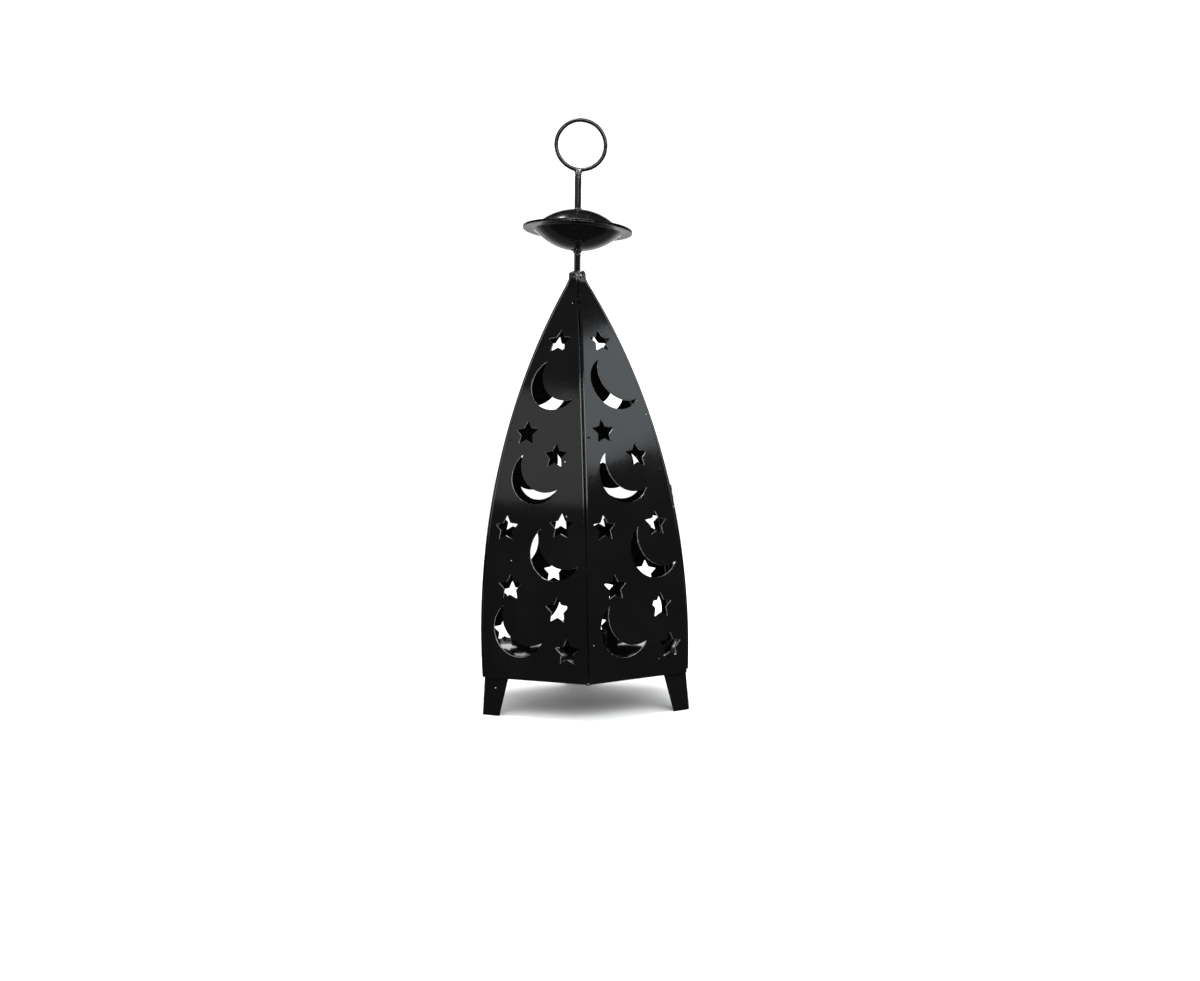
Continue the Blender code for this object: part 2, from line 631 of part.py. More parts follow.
def make_stem_and_shield():
    frame = stem_frame()
    rod("stem", STEM_R, FOOT_DROP + STEM_FOOT, FOOT_DROP + STEM_TOP, frame=frame)
    centre = frame @ Vector((0.0, 0.0, FOOT_DROP + DISH_HEIGHT))
    tilt = Matrix.Translation(centre) @ Matrix.Rotation(math.radians(DISH_TILT), 4, "Y")
    hole_r = STEM_R + STEM_CLEARANCE
    for name, sign in (("upper_dish", 1.0), ("lower_dish", -1.0)):
        dish = lathe(name, dish_profile(sign), 28, closed=False, frame=tilt)
        cutter = rod(name + "_hole", hole_r, FOOT_DROP + DISH_HEIGHT - 2 * DISH_DEPTH,
                     FOOT_DROP + DISH_HEIGHT + 2 * DISH_DEPTH, frame=frame)
        bpy.context.view_layer.update()
        combine(dish, [cutter], "DIFFERENCE")
    reach = DISH_DEPTH + SHEET + 0.0008
    top = FOOT_DROP + DISH_HEIGHT + reach
    lathe("dish_weld_top", [(hole_r, top), (0.0031, top), (0.0028, top + 0.0014),
                            (hole_r, top + 0.0018)], 16, frame=frame)
    low = FOOT_DROP + DISH_HEIGHT - reach
    lathe("dish_weld_bottom", [(hole_r, low), (hole_r, low - 0.0030), (0.0028, low - 0.0028),
                               (0.0040, low - 0.0008), (0.0042, low)], 16, frame=frame)
    weld_low = FOOT_DROP + neck_height() - 0.0012
    weld_top = FOOT_DROP + neck_height() + TAB_HEIGHT
    lathe("neck_weld", [(STEM_R + 0.0006, weld_low), (0.0041, weld_low), (0.0041, weld_top),
                        (0.0034, weld_top + 0.0008), (STEM_R + 0.0006, weld_top + 0.0010)], 16)


def make_ring():
    """A wire ring in the plane Y = 0, with the weld neck that carries it on the stem."""
    section = [(RING_R + RING_WIRE_R * math.cos(math.pi * step / 4),
                RING_WIRE_R * math.sin(math.pi * step / 4)) for step in range(8)]
    stand = Matrix.Translation(Vector(RING_CENTRE) + Vector((0.0, 0.0, FOOT_DROP)))
    ring = lathe("hanging_ring", section, 36, frame=stand @ Matrix.Rotation(math.pi / 2, 4, "X"))
    low = FOOT_DROP + STEM_TOP + GAP
    high = FOOT_DROP + RING_NECK_TOP
    neck = lathe("ring_neck", [(0.0, low), (STEM_R + GAP, low), (STEM_R + 2 * GAP, low + 0.002),
                               (RING_NECK_WIDTH, high - 0.0012), (RING_NECK_WIDTH * 0.7, high),
                               (0.0, high)], 16, closed=False)
    foot_x = (stem_frame() @ Vector((0.0, 0.0, low))).x
    for vert in neck.data.vertices:
        rise = (vert.co.z - low) / (high - low)
        vert.co.y *= 1.0 - 0.45 * rise
        vert.co.x += foot_x + (RING_CENTRE[0] - foot_x) * 0.45 * rise
    bpy.context.view_layer.update()
    combine(ring, [neck], "UNION")


def main():
    clear_scene()
    make_shell()
    pivot = make_door()
    make_hinges(pivot)
    make_turn_button()
    make_floor()
    make_candle_cup()
    for name, azimuth in FOOT_AZIMUTHS.items():
        make_foot(name, azimuth)
    make_stem_and_shield()
    make_ring()


main()
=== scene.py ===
"""Looks of the six-sided metal lantern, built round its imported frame.

Metres, +Z up.  Every piece sits where the frame's nodes are, and rides on their body.
"""
import math

import bmesh
import bpy
from mathutils import Matrix, Quaternion, Vector, noise
from mathutils.geometry import delaunay_2d_cdt


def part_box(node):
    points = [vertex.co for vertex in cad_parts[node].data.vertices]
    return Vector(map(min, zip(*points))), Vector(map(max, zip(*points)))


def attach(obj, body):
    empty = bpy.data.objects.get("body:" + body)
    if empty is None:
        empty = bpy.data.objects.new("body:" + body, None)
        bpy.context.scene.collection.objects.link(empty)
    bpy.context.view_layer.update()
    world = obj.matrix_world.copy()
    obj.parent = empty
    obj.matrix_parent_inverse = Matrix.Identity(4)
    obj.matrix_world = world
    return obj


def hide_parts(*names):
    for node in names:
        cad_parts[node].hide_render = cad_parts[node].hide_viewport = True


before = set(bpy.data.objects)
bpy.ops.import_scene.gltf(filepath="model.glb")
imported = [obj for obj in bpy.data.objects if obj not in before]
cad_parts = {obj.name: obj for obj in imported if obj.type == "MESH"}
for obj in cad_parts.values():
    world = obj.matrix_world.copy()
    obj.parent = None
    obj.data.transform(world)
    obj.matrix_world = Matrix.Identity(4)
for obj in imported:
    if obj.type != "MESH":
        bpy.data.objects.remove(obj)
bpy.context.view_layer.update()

MM = 0.001
COS30 = math.cos(math.pi / 6)
TAN30 = math.tan(math.pi / 6)

# ---- places read from the frame ----
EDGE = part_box("panel_left")[0].z                 # the shell's lower edge
TAB_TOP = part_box("panel_left")[1].z
APOTHEM = -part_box("panel_left")[0].x             # widest distance from the centre line to a panel
NECK_APOTHEM = -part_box("panel_left")[1].x
DOOR_LOW, DOOR_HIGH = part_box("door")[0].z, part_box("door")[1].z
UPPER_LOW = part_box("panel_right_upper")[0].z
FLOOR_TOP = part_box("floor_plate")[1].z
CUP_LOW, CUP_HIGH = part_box("candle_cup")
RING_LOW, RING_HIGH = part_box("hanging_ring")
DISH_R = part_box("upper_dish")[1].y

# ---- the stamped shell ----
SHEET = 1.05 * MM
PROUD = 0.45 * MM            # the rounded corners need the faces this far out
OGIVE_R = 425 * MM
BULGE = 23 * MM              # the shell is widest this far above its lower edge
TAB_LIFT = 0.8 * MM          # the neck tabs stand this far out from the CAD's
TAB_BLEND = 0.8 * MM         # softness of the bend from the curve into the tabs
SEAM_GAP = 0.14 * MM
DOOR_SEAM_GAP = 3 * SEAM_GAP
BUTTON_LIFT = 0.45 * MM      # the turn button follows the sheet out by this much
BUTTON_PRESS = 0.8           # and is pressed this much flatter
BEND_R = 1.1 * MM            # outer radius of the bend into a seam flange
BEND_ANGLE = 120.0           # degrees that a seam flange is folded through
BEND_STEPS = 6
TIGHTEST_BEND = 0.06 * MM    # least inner radius of that bend
OUTER, CUT, INNER = 0, 1, 2  # a stamped piece's paints, in its order
FLAT_RIM = 0.4 * MM          # flat strip kept beside each bend
FLANGE = 4 * MM
DOOR_FLANGE = 1.6 * MM
DEBURR = 0.15 * MM           # rounding of the stamped edges
BURR = 0.03 * MM             # strip beside a stamped edge's inner rim
MESH_STEP = 4.6 * MM
HOLE_CLEARANCE = 1.3         # millimetres between the mesh's inner points and a hole
BORDER_CLEARANCE = 0.6       # and between them and the sheet's border

STAR_R = 8.8 * MM
STAR_INNER = 0.5
TIP_ROUND = 0.9 * MM         # how far down its sides the rounding of a sharp tip reaches
MOON_R = 18.3 * MM
MOON_CUT_R = 19.1 * MM
MOON_CUT = Vector((6.9 * MM, 8.2 * MM))
# centre of each stamped hole: (across, up the sheet from its lower edge), in millimetres;
# a crescent also has its turn in degrees
STARS = [(23.6, 19.1), (17.0, 44.8), (-16.9, 58.1), (-21.4, 95.3),
         (17.9, 96.8), (9.8, 141.5), (-12.8, 157.1), (0.2, 220.1)]
MOONS = [(-10.4, 32.5, 0), (15.0, 80.9, 0), (-2.2, 129.0, 0), (3.6, 190.5, -9)]
# dimples of the spot welds, and small dents: (across, up the sheet, radius), in millimetres
SPOT_WELDS = [(-27.5, 6.6, 1.3), (27.5, 6.4, 1.3), (-17.0, 7.6, 1.1), (17.0, 7.8, 1.1)]
DENTS = [(-24.6, 152.5, 1.5), (31.0, 61.0, 1.0)]
DOOR_DENTS = [(25.0, 7.0, 1.1)]

STEM_R = 2.2 * MM
STEM_FOOT_LIFT = 0.2 * MM    # how far the rod's ends stand above the CAD's
STEM_TOP_LIFT = 0.6 * MM
STEM_LEAN = math.radians(1.5)
STEM_PIVOT = 263.4 * MM      # above the lower edge, where the stem crosses the centre line
DISH_HEIGHT = 290.6 * MM     # above the lower edge, measured up the stem
DISH_TILT = math.radians(4.2)
DISH_BOWL_R = 28.5 * MM
DISH_DEPTH = 12.5 * MM
DISH_SHEET = 0.8 * MM
RING_WIRE_R = 1.3 * MM


# ---- materials ----
class Paint:
    """A node material under construction: black paint with its unevenness, dust and orange peel."""

    def __init__(self, name, color, roughness, specular=0.5):
        self.material = bpy.data.materials.new(name)
        self.material.use_nodes = True
        self.nodes = self.material.node_tree.nodes
        self.links = self.material.node_tree.links
        self.shader = self.nodes["Principled BSDF"]
        self.shader.inputs["Metallic"].default_value = 0.0
        self.shader.inputs["Specular IOR Level"].default_value = specular
        self.place = self.nodes.new("ShaderNodeTexCoord").outputs["Object"]
        self.color = self.value(color)
        self.roughness = roughness
        self.height = None

    def value(self, color):
        node = self.nodes.new("ShaderNodeRGB")
        node.outputs[0].default_value = (*color, 1.0)
        return node.outputs[0]

    def noise(self, scale, detail=3.0, distortion=0.0, stretch=None):
        place = self.place
        if stretch:
            mapping = self.nodes.new("ShaderNodeMapping")
            mapping.inputs["Scale"].default_value = stretch
            self.links.new(place, mapping.inputs["Vector"])
            place = mapping.outputs["Vector"]
        node = self.nodes.new("ShaderNodeTexNoise")
        node.inputs["Scale"].default_value = scale
        node.inputs["Detail"].default_value = detail
        node.inputs["Distortion"].default_value = distortion
        self.links.new(place, node.inputs["Vector"])
        return node.outputs["Fac"]

    def ramp(self, source, low, high, from_value=0.0, to_value=1.0):
        """A smooth step of the source, from one value to another."""
        node = self.nodes.new("ShaderNodeMapRange")
        node.interpolation_type = "SMOOTHSTEP"
        node.inputs["From Min"].default_value = low
        node.inputs["From Max"].default_value = high
        node.inputs["To Min"].default_value = from_value
        node.inputs["To Max"].default_value = to_value
        self.links.new(source, node.inputs["Value"])
        return node.outputs["Result"]

    def math(self, operation, first, second):
        node = self.nodes.new("ShaderNodeMath")
        node.operation = operation
        for socket, value in zip(node.inputs, (first, second)):
            if isinstance(value, float):
                socket.default_value = value
            else:
                self.links.new(value, socket)
        return node.outputs[0]

    def tint(self, factor, color):
        """Lay a colour over what is there, by a factor."""
        mix = self.nodes.new("ShaderNodeMix")
        mix.data_type = "RGBA"
        self.links.new(factor, mix.inputs["Factor"])
        self.links.new(self.color, mix.inputs[6])
        self.links.new(self.value(color), mix.inputs[7])
        self.color = mix.outputs[2]

    def dust(self, scale, size, color=(0.30, 0.29, 0.27), empty=0.968):
        """Sparse specks: a share of the pattern's cells stays empty."""
        specks = self.nodes.new("ShaderNodeTexVoronoi")
        specks.inputs["Scale"].default_value = scale
        self.links.new(self.place, specks.inputs["Vector"])
        near = self.ramp(specks.outputs["Distance"], size, size * 0.5)
        split = self.nodes.new("ShaderNodeSeparateColor")
        self.links.new(specks.outputs["Color"], split.inputs["Color"])
        chosen = self.math("GREATER_THAN", split.outputs["Red"], empty)
        self.tint(self.math("MULTIPLY", near, chosen), color)

    def film(self, strength, color=(0.045, 0.044, 0.042)):
        """A thin film of dust that settles on what faces up."""
        geometry = self.nodes.new("ShaderNodeNewGeometry")
        split = self.nodes.new("ShaderNodeSeparateXYZ")
        self.links.new(geometry.outputs["Normal"], split.inputs["Vector"])
        facing = self.ramp(split.outputs["Z"], 0.15, 1.0)
        patches = self.ramp(self.noise(60.0, 4.0), 0.35, 0.7, 0.35, 1.0)
        amount = self.math("MULTIPLY", self.math("MULTIPLY", facing, patches), strength)
        self.tint(amount, color)

    def bump(self, source, distance, strength=1.0):
        node = self.nodes.new("ShaderNodeBump")
        node.inputs["Distance"].default_value = distance
        node.inputs["Strength"].default_value = strength
        self.links.new(source, node.inputs["Height"])
        if self.height:
            self.links.new(self.height, node.inputs["Normal"])
        self.height = node.outputs["Normal"]

    def done(self):
        self.links.new(self.color, self.shader.inputs["Base Color"])
        if isinstance(self.roughness, float):
            self.shader.inputs["Roughness"].default_value = self.roughness
        else:
            self.links.new(self.roughness, self.shader.inputs["Roughness"])
        if self.height:
            self.links.new(self.height, self.shader.inputs["Normal"])
        return self.material


BLACK = (0.0034, 0.0034, 0.0035)


def sheet_paint():
    """Gloss black brushed and sprayed on flat sheet: fine orange peel, cloudy gloss, specks."""
    paint = Paint("sheet_paint", BLACK, 0.2)
    clouds = paint.noise(38.0, 4.0, 0.4)
    wipes = paint.noise(55.0, 3.0, 0.0, stretch=(1.0, 1.0, 0.25))
    paint.tint(paint.ramp(clouds, 0.42, 0.75, 0.0, 0.5), (0.0052, 0.0051, 0.005))
    paint.dust(260.0, 0.12, (0.5, 0.49, 0.47))
    paint.film(0.12)
    paint.roughness = paint.math("ADD", paint.ramp(clouds, 0.3, 0.7, 0.09, 0.125),
                                 paint.ramp(wipes, 0.45, 0.7, 0.0, 0.03))
    paint.bump(paint.noise(620.0, 2.0), 0.00002, 0.35)
    paint.bump(paint.noise(140.0, 2.0), 0.00006, 0.4)
    return paint.done()


def edge_highlight_paint():
    """The cut edge of the sheet: thin paint over the torn face that the punch leaves, painted pale grey
    with bright streaks as a painted highlight of the light the edges catch.
    """
    # painted highlight: the pale grey of the cut edges stands in for the light they catch
    paint = Paint("cut_edge_highlight_paint", (0.15, 0.15, 0.152), 0.24, 0.9)
    streaks_and_highlights = paint.noise(900.0, 2.0, 0.0, stretch=(1.0, 1.0, 0.4))
    # painted highlight: bright streaks along the cut edges
    paint.tint(paint.ramp(streaks_and_highlights, 0.45, 0.75, 0.0, 0.8), (0.42, 0.415, 0.405))
    paint.roughness = paint.ramp(streaks_and_highlights, 0.3, 0.8, 0.2, 0.42)
    paint.bump(streaks_and_highlights, 0.00004, 0.6)
    return paint.done()


def inside_paint():
    """The shell's inner face and floor: the same paint, thinner, with a little soot and dust."""
    paint = Paint("inside_paint", (0.0045, 0.0045, 0.0046), 0.3, 0.4)
    soot = paint.noise(30.0, 5.0, 0.3)
    paint.tint(paint.ramp(soot, 0.45, 0.8, 0.0, 0.6), (0.0065, 0.006, 0.0056))
    paint.dust(120.0, 0.03, (0.12, 0.115, 0.11))
    paint.roughness = paint.ramp(soot, 0.3, 0.75, 0.24, 0.42)
    paint.bump(paint.noise(260.0, 3.0), 0.00005, 0.5)
    return paint.done()


def plate_paint():
    """The floor plate: thick gloss enamel with a little soot."""
    paint = Paint("plate_paint", (0.004, 0.004, 0.004), 0.08, 1.0)
    soot = paint.noise(40.0, 4.0, 0.3)
    paint.tint(paint.ramp(soot, 0.5, 0.8, 0.0, 0.6), (0.006, 0.0057, 0.0055))
    paint.roughness = paint.ramp(soot, 0.35, 0.75, 0.09, 0.14)
    return paint.done()


def dish_paint():
    """Spun dish: smooth, slightly cloudy gloss with a few specks and a thin film of dust."""
    paint = Paint("dish_paint", BLACK, 0.16)
    clouds = paint.noise(45.0, 4.0, 0.2)
    paint.dust(260.0, 0.1)
    paint.film(0.06)
    paint.roughness = paint.ramp(clouds, 0.3, 0.75, 0.15, 0.2)
    paint.bump(paint.noise(90.0, 2.0), 0.00004, 0.12)
    return paint.done()


def wire_paint():
    """Thick gloss paint on drawn wire: long runs and small sags."""
    paint = Paint("wire_paint", (0.005, 0.005, 0.0052), 0.2)
    runs = paint.noise(220.0, 2.0, 0.0, stretch=(1.0, 1.0, 0.3))
    paint.tint(paint.ramp(runs, 0.55, 0.8, 0.0, 0.5), (0.008, 0.008, 0.008))
    paint.roughness = paint.ramp(runs, 0.3, 0.7, 0.12, 0.18)
    paint.bump(runs, 0.00003, 0.4)
    return paint.done()


def weld_highlight_paint():
    """Paint that has pooled on a rough weld: pitted, with near-white spots on its lumps that are partly
    bare metal and partly a painted highlight.
    """
    paint = Paint("weld_highlight_paint", (0.012, 0.012, 0.012), 0.2, 0.7)
    lumps_and_glints = paint.noise(620.0, 3.0, 0.5)
    # painted highlight, partly bare metal: near-white spots on the lumps stand in for the weld's glints
    paint.tint(paint.ramp(lumps_and_glints, 0.57, 0.68, 0.0, 0.95), (0.5, 0.49, 0.48))
    paint.roughness = paint.ramp(lumps_and_glints, 0.3, 0.75, 0.3, 0.12)
    paint.bump(lumps_and_glints, 0.00016, 0.6)
    return paint.done()


def fitting_paint():
    """Small pressed fittings: the same black, rubbed brighter on the high spots."""
    paint = Paint("fitting_paint", (0.006, 0.006, 0.0062), 0.24, 0.5)
    rub = paint.noise(420.0, 4.0, 0.3)
    paint.tint(paint.ramp(rub, 0.6, 0.8, 0.0, 0.8), (0.022, 0.0215, 0.021))
    paint.roughness = paint.ramp(rub, 0.3, 0.75, 0.2, 0.36)
    paint.bump(rub, 0.00005, 0.5)
    return paint.done()


def floor_paint():
    """Plain pale studio floor."""
    paint = Paint("studio_floor", (0.86, 0.86, 0.86), 0.75, 0.2)
    paint.tint(paint.ramp(paint.noise(3.0, 3.0), 0.3, 0.7, 0.0, 0.5), (0.88, 0.88, 0.88))
    return paint.done()


SHEET_PAINT = sheet_paint()
EDGE_HIGHLIGHT_PAINT = edge_highlight_paint()
INSIDE_PAINT = inside_paint()
PLATE_PAINT = plate_paint()
DISH_PAINT = dish_paint()
WIRE_PAINT = wire_paint()
WELD_HIGHLIGHT_PAINT = weld_highlight_paint()
FITTING_PAINT = fitting_paint()


# ---- pieces ----
def piece(name, bm, paints, body, nodes, smooth=35.0, matrix=None):
    """Make a visible piece from a bmesh, hang it on the body it rides on, and hide the frame's nodes that
    it stands for.
    """
    if matrix:
        bm.transform(matrix)
    bmesh.ops.recalc_face_normals(bm, faces=bm.faces)
    mesh = bpy.data.meshes.new(name)
    bm.to_mesh(mesh)
    bm.free()
    for paint in paints:
        mesh.materials.append(paint)
    mesh.shade_smooth()
    mesh.set_sharp_from_angle(angle=math.radians(smooth))
    obj = bpy.data.objects.new(name, mesh)
    bpy.context.scene.collection.objects.link(obj)
    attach(obj, body)
    if nodes:
        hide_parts(*nodes)
    return obj


# ---- shell geometry ----
def ogive_apothem(height):
    """Distance from the centre line to a panel's outer face, at a height above the lower edge."""
    rise = height - BULGE
    drop = OGIVE_R - math.sqrt(OGIVE_R ** 2 - rise ** 2)
    curve = APOTHEM + PROUD - drop * COS30
    neck = NECK_APOTHEM + TAB_LIFT
    return (curve + neck + math.sqrt((curve - neck) ** 2 + TAB_BLEND ** 2)) / 2


def sheet_lengths():
    """Table of (length up the sheet, height above the lower edge)."""
    steps = 600
    top = TAB_TOP - EDGE
    table = [(0.0, 0.0)]
    last = ogive_apothem(0.0)
    for step in range(1, steps + 1):
        height = top * step / steps
        apothem = ogive_apothem(height)
        length = table[-1][0] + math.hypot(top / steps, apothem - last)
        table.append((length, height))
        last = apothem
    return table


LENGTHS = sheet_lengths()
SHEET_LENGTH = LENGTHS[-1][0]


def height_at(length):
    low, high = 0, len(LENGTHS) - 1
    while high - low > 1:
        middle = (low + high) // 2
        if LENGTHS[middle][0] > length:
            high = middle
        else:
            low = middle
    share = (length - LENGTHS[low][0]) / (LENGTHS[high][0] - LENGTHS[low][0])
    return LENGTHS[low][1] + share * (LENGTHS[high][1] - LENGTHS[low][1])


def length_at(world_height):
    height = world_height - EDGE
    for (length, low), (next_length, high) in zip(LENGTHS, LENGTHS[1:]):
        if height <= high:
            return length + (height - low) / (high - low) * (next_length - length)
    return SHEET_LENGTH


def on_sheet(across, depth, length):
    """A point of the panel that faces +X, a depth below its outer face."""
    height = height_at(length)
    apothem = ogive_apothem(height)
    step = 0.1 * MM
    slope = (ogive_apothem(height + step) - ogive_apothem(height - step)) / (2 * step)
    normal = Vector((1.0, 0.0, -slope)).normalized()
    return Vector((apothem, across, height + EDGE)) - normal * depth


def corner_across(length):
    return ogive_apothem(height_at(length)) * TAN30


# ---- outlines of the stamped holes, in millimetres on the flat sheet ----
def star(centre):
    """A five-pointed star with one point up; its tips are rounded."""
    corners = []
    for step in range(10):
        radius = STAR_R / MM * (STAR_INNER if step % 2 else 1.0)
        angle = math.pi / 2 + step * math.pi / 5
        corners.append(Vector((centre[0] + radius * math.cos(angle),
                               centre[1] + radius * math.sin(angle))))
    points = []
    for step, corner in enumerate(corners):
        if step % 2:
            points.append(corner)
            continue
        sides = [corner + (other - corner).normalized() * TIP_ROUND / MM
                 for other in (corners[step - 1], corners[(step + 1) % 10])]
        points += [sides[0], corner.lerp((sides[0] + sides[1]) / 2, 0.5), sides[1]]
    return points


def moon(centre, outer_steps=34, inner_steps=24):
    """A crescent: an outer arc from tip to tip, and back along the arc that bites it; blunt tips."""
    bite = Matrix.Rotation(math.radians(centre[2]), 2) @ MOON_CUT
    span = bite.length
    reach = (span ** 2 + MOON_R ** 2 - MOON_CUT_R ** 2) / (2 * span)
    tip_angle = math.acos(reach / MOON_R) + 0.4 * TIP_ROUND / MOON_R
    heading = math.atan2(bite.y, bite.x)
    start, end = heading + tip_angle, heading + math.tau - tip_angle
    points = []
    for step in range(outer_steps + 1):
        angle = start + (end - start) * step / outer_steps
        points.append(MOON_R * Vector((math.cos(angle), math.sin(angle))))
    tips = [MOON_R * Vector((math.cos(angle), math.sin(angle)))
            for angle in (end + 0.6 * TIP_ROUND / MOON_R, start - 0.6 * TIP_ROUND / MOON_R)]
    start, end = (math.atan2(arm.y, arm.x) % math.tau for arm in (points[-1] - bite, points[0] - bite))
    ease = 0.6 * TIP_ROUND / MOON_CUT_R
    start, end = (start - ease, end + ease) if start > end else (start + ease, end - ease)
    back = []
    for step in range(inner_steps + 1):
        angle = start + (end - start) * step / inner_steps
        back.append(bite + MOON_CUT_R * Vector((math.cos(angle), math.sin(angle))))
    tips = [tip.lerp(inner, 0.35) for tip, inner in zip(tips, (back[0], back[-1]))]
    return [Vector(centre[:2]) + point / MM for point in points + tips[:1] + back + tips[1:]]


def circle(centre, radius, count):
    angles = (math.tau * step / count for step in range(count))
    return [Vector(centre) + radius * Vector((math.cos(angle), math.sin(angle))) for angle in angles]


def moved_out(loop, distance):
    """The loop moved outwards by a distance, with short mitres at its corners."""
    area = sum(a.cross(b) for a, b in zip(loop, loop[1:] + loop[:1]))
    sign = 1.0 if area > 0 else -1.0
    result = []
    for index, point in enumerate(loop):
        before = (point - loop[index - 1]).normalized()
        after = (loop[(index + 1) % len(loop)] - point).normalized()
        first = Vector((before.y, -before.x)) * sign
        second = Vector((after.y, -after.x)) * sign
        mitre = (first + second) / max(0.35, 1.0 + first.dot(second))
        result.append(point + mitre * distance)
    return result


def inside(point, loop):
    hit = False
    for start, end in zip(loop, loop[1:] + loop[:1]):
        if (start.y > point.y) != (end.y > point.y):
            if point.x < start.x + (point.y - start.y) / (end.y - start.y) * (end.x - start.x):
                hit = not hit
    return hit


def distance_to(point, loop):
    best = 1e9
    for start, end in zip(loop, loop[1:] + loop[:1]):
        along = end - start
        share = max(0.0, min(1.0, (point - start).dot(along) / along.length_squared))
        best = min(best, (start + along * share - point).length_squared)
    return math.sqrt(best)


class Blank:
    """A flat sheet cut to shape: its triangles, rows and holes, ready to be bent."""

    def __init__(self, low, high, holes, gap, flange, dimples):
        self.low, self.high = low, high
        self.gap, self.flange, self.dimples = gap, flange, dimples
        count = max(2, round((high - low) / MESH_STEP))
        self.rows = [low + (high - low) * row / count for row in range(count + 1)]
        self.loops = [moved_out(hole, DEBURR / MM) for hole in holes]
        self.holes = holes
        self.triangulate()

    def bend(self, length):
        """(where the bend starts, bend radius, flange depth) at a length up the sheet."""
        # the flange widens above the floor plate, and narrows again towards the neck
        corner = corner_across(length)
        radius = min(BEND_R, 0.24 * corner)
        apex = corner - self.gap / 2 / COS30
        room = min(1.0, max(0.12, (length - 12 * MM) / (6 * MM)))
        depth = max(0.3 * MM, min(self.flange * room, 0.4 * (corner - 2 * MM)))
        return apex - radius / TAN30, radius, depth

    def border_across(self, length):
        """Half width of the triangulated part, in millimetres, at a length up the sheet."""
        return (self.bend(length)[0] - FLAT_RIM) / MM

    def outline(self):
        """Corner loop of the flat part, in millimetres, and its side points by row."""
        right = [Vector((self.border_across(row), row / MM)) for row in self.rows]
        left = [Vector((-point.x, point.y)) for point in right]
        top = self.between(right[-1], left[-1])
        bottom = self.between(left[0], right[0])
        return right + top + left[::-1] + bottom

    @staticmethod
    def between(start, end):
        count = max(1, round((end - start).length / (MESH_STEP / MM)))
        return [start.lerp(end, step / count) for step in range(1, count)]

    def inner_points(self, border):
        """Points inside the flat part that keep its triangles even, with rings round the dimples."""
        points = []
        for across, up, radius in self.dimples:
            points.append(Vector((across, up)))
            for share in (0.35, 0.7, 1.05, 1.5):
                points += circle((across, up), radius * share, 10)
        for row in self.rows[1:-1]:
            reach = self.border_across(row)
            count = max(2, round(2 * reach / (MESH_STEP / MM)))
            for step in range(1, count):
                point = Vector((-reach + 2 * reach * step / count, row / MM))
                if all((point - Vector(dimple[:2])).length > dimple[2] * 1.9 for dimple in self.dimples):
                    points.append(point)
        points = [point for point in points
                  if inside(point, border) and distance_to(point, border) > BORDER_CLEARANCE]
        return [point for point in points
                if all(not inside(point, loop) and distance_to(point, loop) > HOLE_CLEARANCE
                       for loop in self.loops)]

    def triangulate(self):
        border = self.outline()
        points, edges = [], []
        for loop in [border] + self.loops:
            start = len(points)
            points += loop
            edges += [(start + index, start + (index + 1) % len(loop)) for index in range(len(loop))]
        self.border_count = len(border)
        points += self.inner_points(border)
        found = delaunay_2d_cdt(points, edges, [], 0, 1e-5)
        self.points = found[0]
        self.source = {origin: index for index, origins in enumerate(found[3]) for origin in origins}
        self.triangles = []
        for face in found[2]:
            middle = sum((self.points[index] for index in face), Vector((0.0, 0.0))) / 3
            if inside(middle, border) and not any(inside(middle, loop) for loop in self.loops):
                self.triangles.append(face)


def waviness(across, length, blank, seed):
    """How far the sheet stands in or out from its true curve: buckles and spot-weld dimples."""
    reach = blank.border_across(length) * MM
    fade = min(1.0, max(0.0, (reach - abs(across)) / (5 * MM)))
    place = Vector((across * 34.0, length * 30.0, seed * 7.3))
    buckle = noise.noise(place) * 0.16 * MM * fade
    fine = noise.noise(place * 3.1) * 0.025 * MM * fade
    dip = 0.0
    for centre, up, radius in blank.dimples:
        off = math.hypot(across / MM - centre, length / MM - up) / radius
        hollow = 0.17 * MM * math.exp(-(off / 0.62) ** 2)
        raised_rim = 0.035 * MM * math.exp(-((off - 1.15) / 0.3) ** 2)
        dip += hollow - raised_rim
    return buckle + fine + dip


